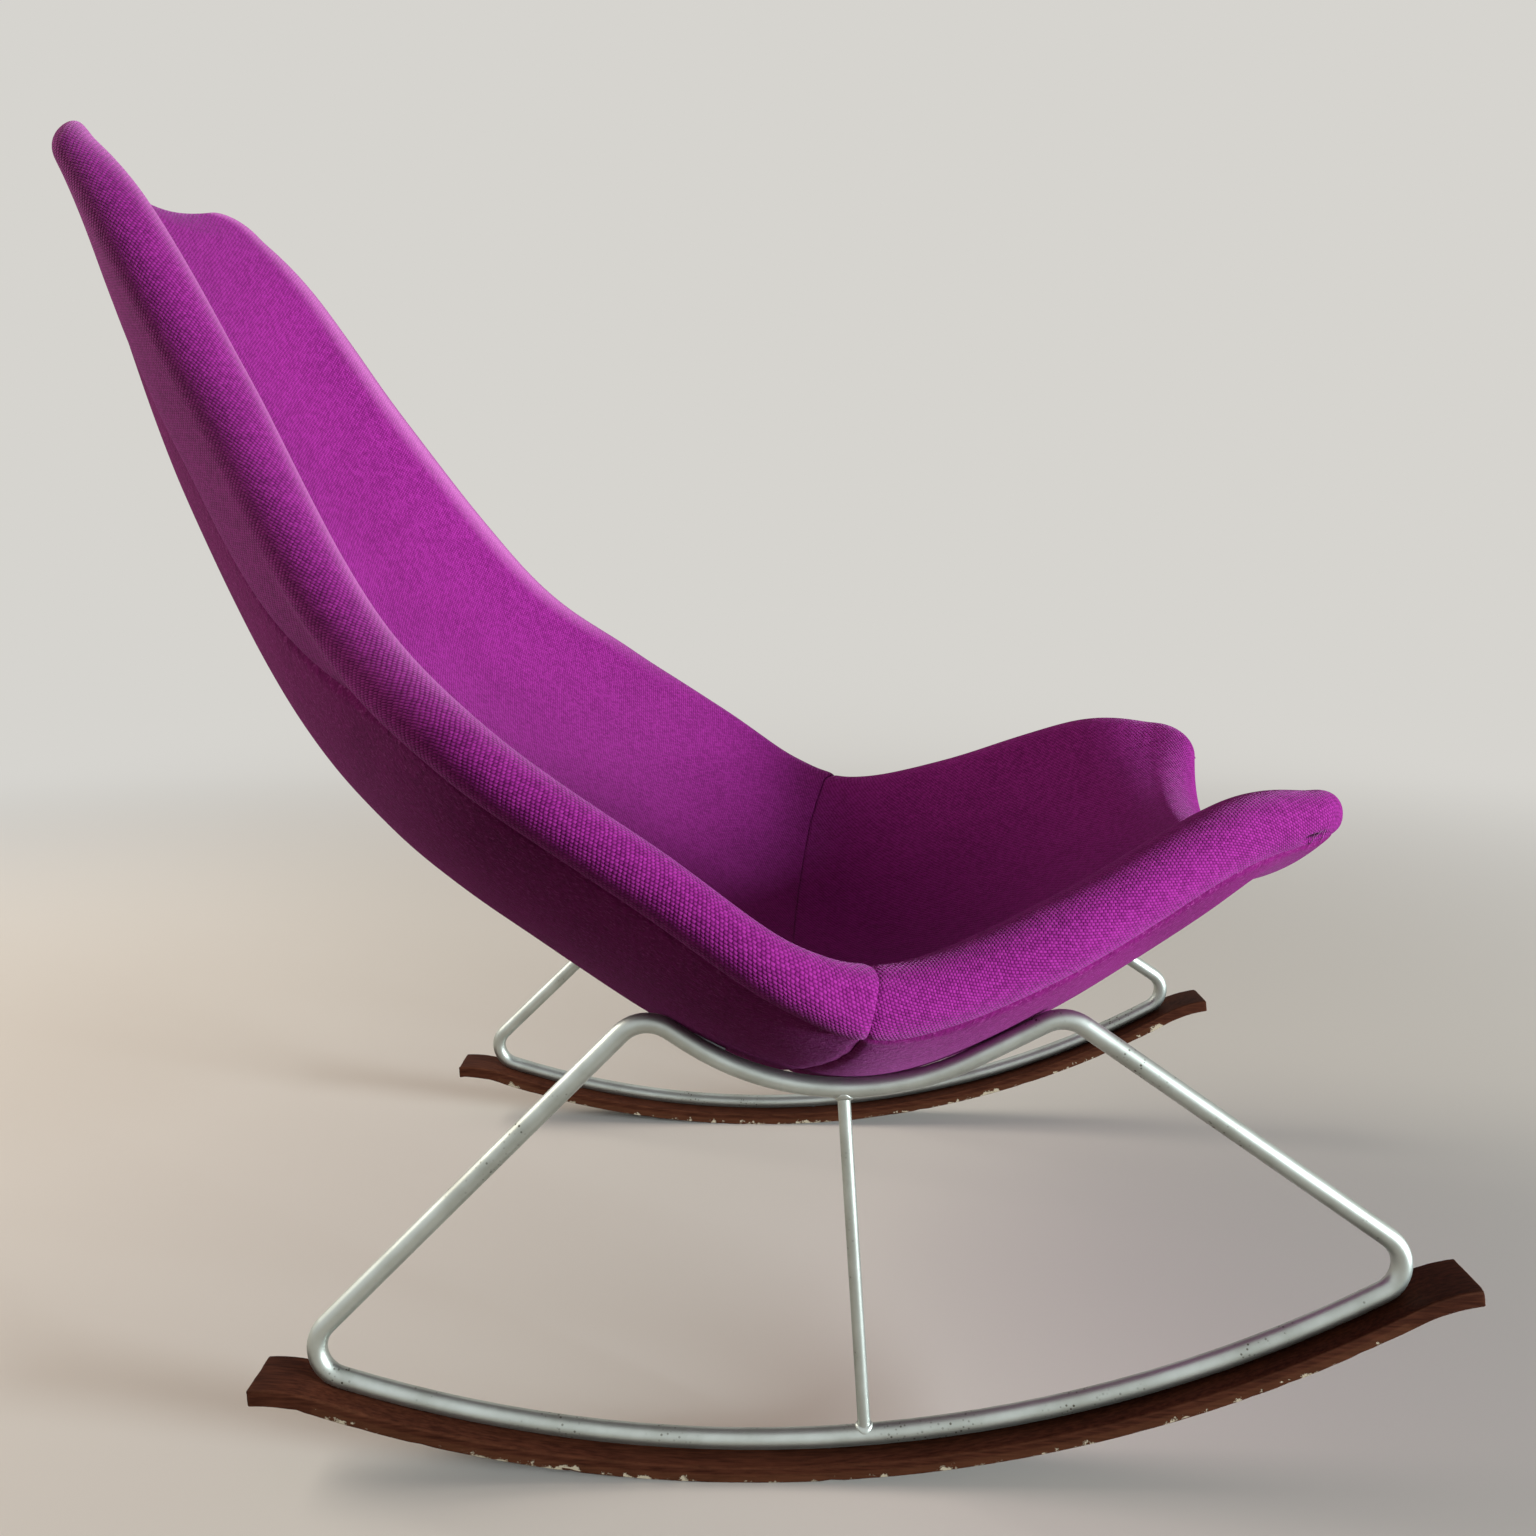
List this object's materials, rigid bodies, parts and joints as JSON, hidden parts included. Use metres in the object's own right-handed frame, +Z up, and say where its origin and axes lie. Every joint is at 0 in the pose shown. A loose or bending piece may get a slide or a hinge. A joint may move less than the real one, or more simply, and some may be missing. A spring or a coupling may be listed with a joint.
{
  "type": "rocking chair",
  "caption": "Upholstered rocking chair with a dished one-piece back and seat on looped rod side frames and bent wooden skids.",
  "frame": {"origin": "on the floor, midway between the two skids and at the middle of the chair's length", "axes": "+X forward, the way a sitter faces; +Y to the sitter's left; +Z up"},
  "size_m": [1.012, 0.7836, 0.9297],
  "materials": {
    "ribbed_wool": "fine ribbed wool, matt",
    "felted_wool": "felted wool, fuzzy and mottled",
    "seat_ply": "moulded plywood under a felted wool cover",
    "plated_rod": "satin nickel plate with small rust pits",
    "plain_steel": "zinc plated, dull",
    "lacquered_wood": "dark brown lacquer, chipped at the edges"
  },
  "bodies": {
    "root": {"back_pad": "ribbed_wool", "seat_pad": "ribbed_wool", "back_roll_right": "ribbed_wool", "back_roll_left": "ribbed_wool", "seat_roll_right": "ribbed_wool", "seat_roll_left": "ribbed_wool", "back_shell": "felted_wool", "seat_shell": "seat_ply", "fixing_tabs_right": "plain_steel", "fixing_tabs_left": "plain_steel", "tab_washers": "plain_steel", "tab_bolts": "plain_steel", "side_frame_right": "plated_rod", "side_frame_left": "plated_rod", "strut_right": "plated_rod", "strut_left": "plated_rod", "skid_right": "lacquered_wood", "skid_left": "lacquered_wood", "skid_screws_right": "plain_steel", "skid_screws_left": "plain_steel"}
  },
  "joints": []
}
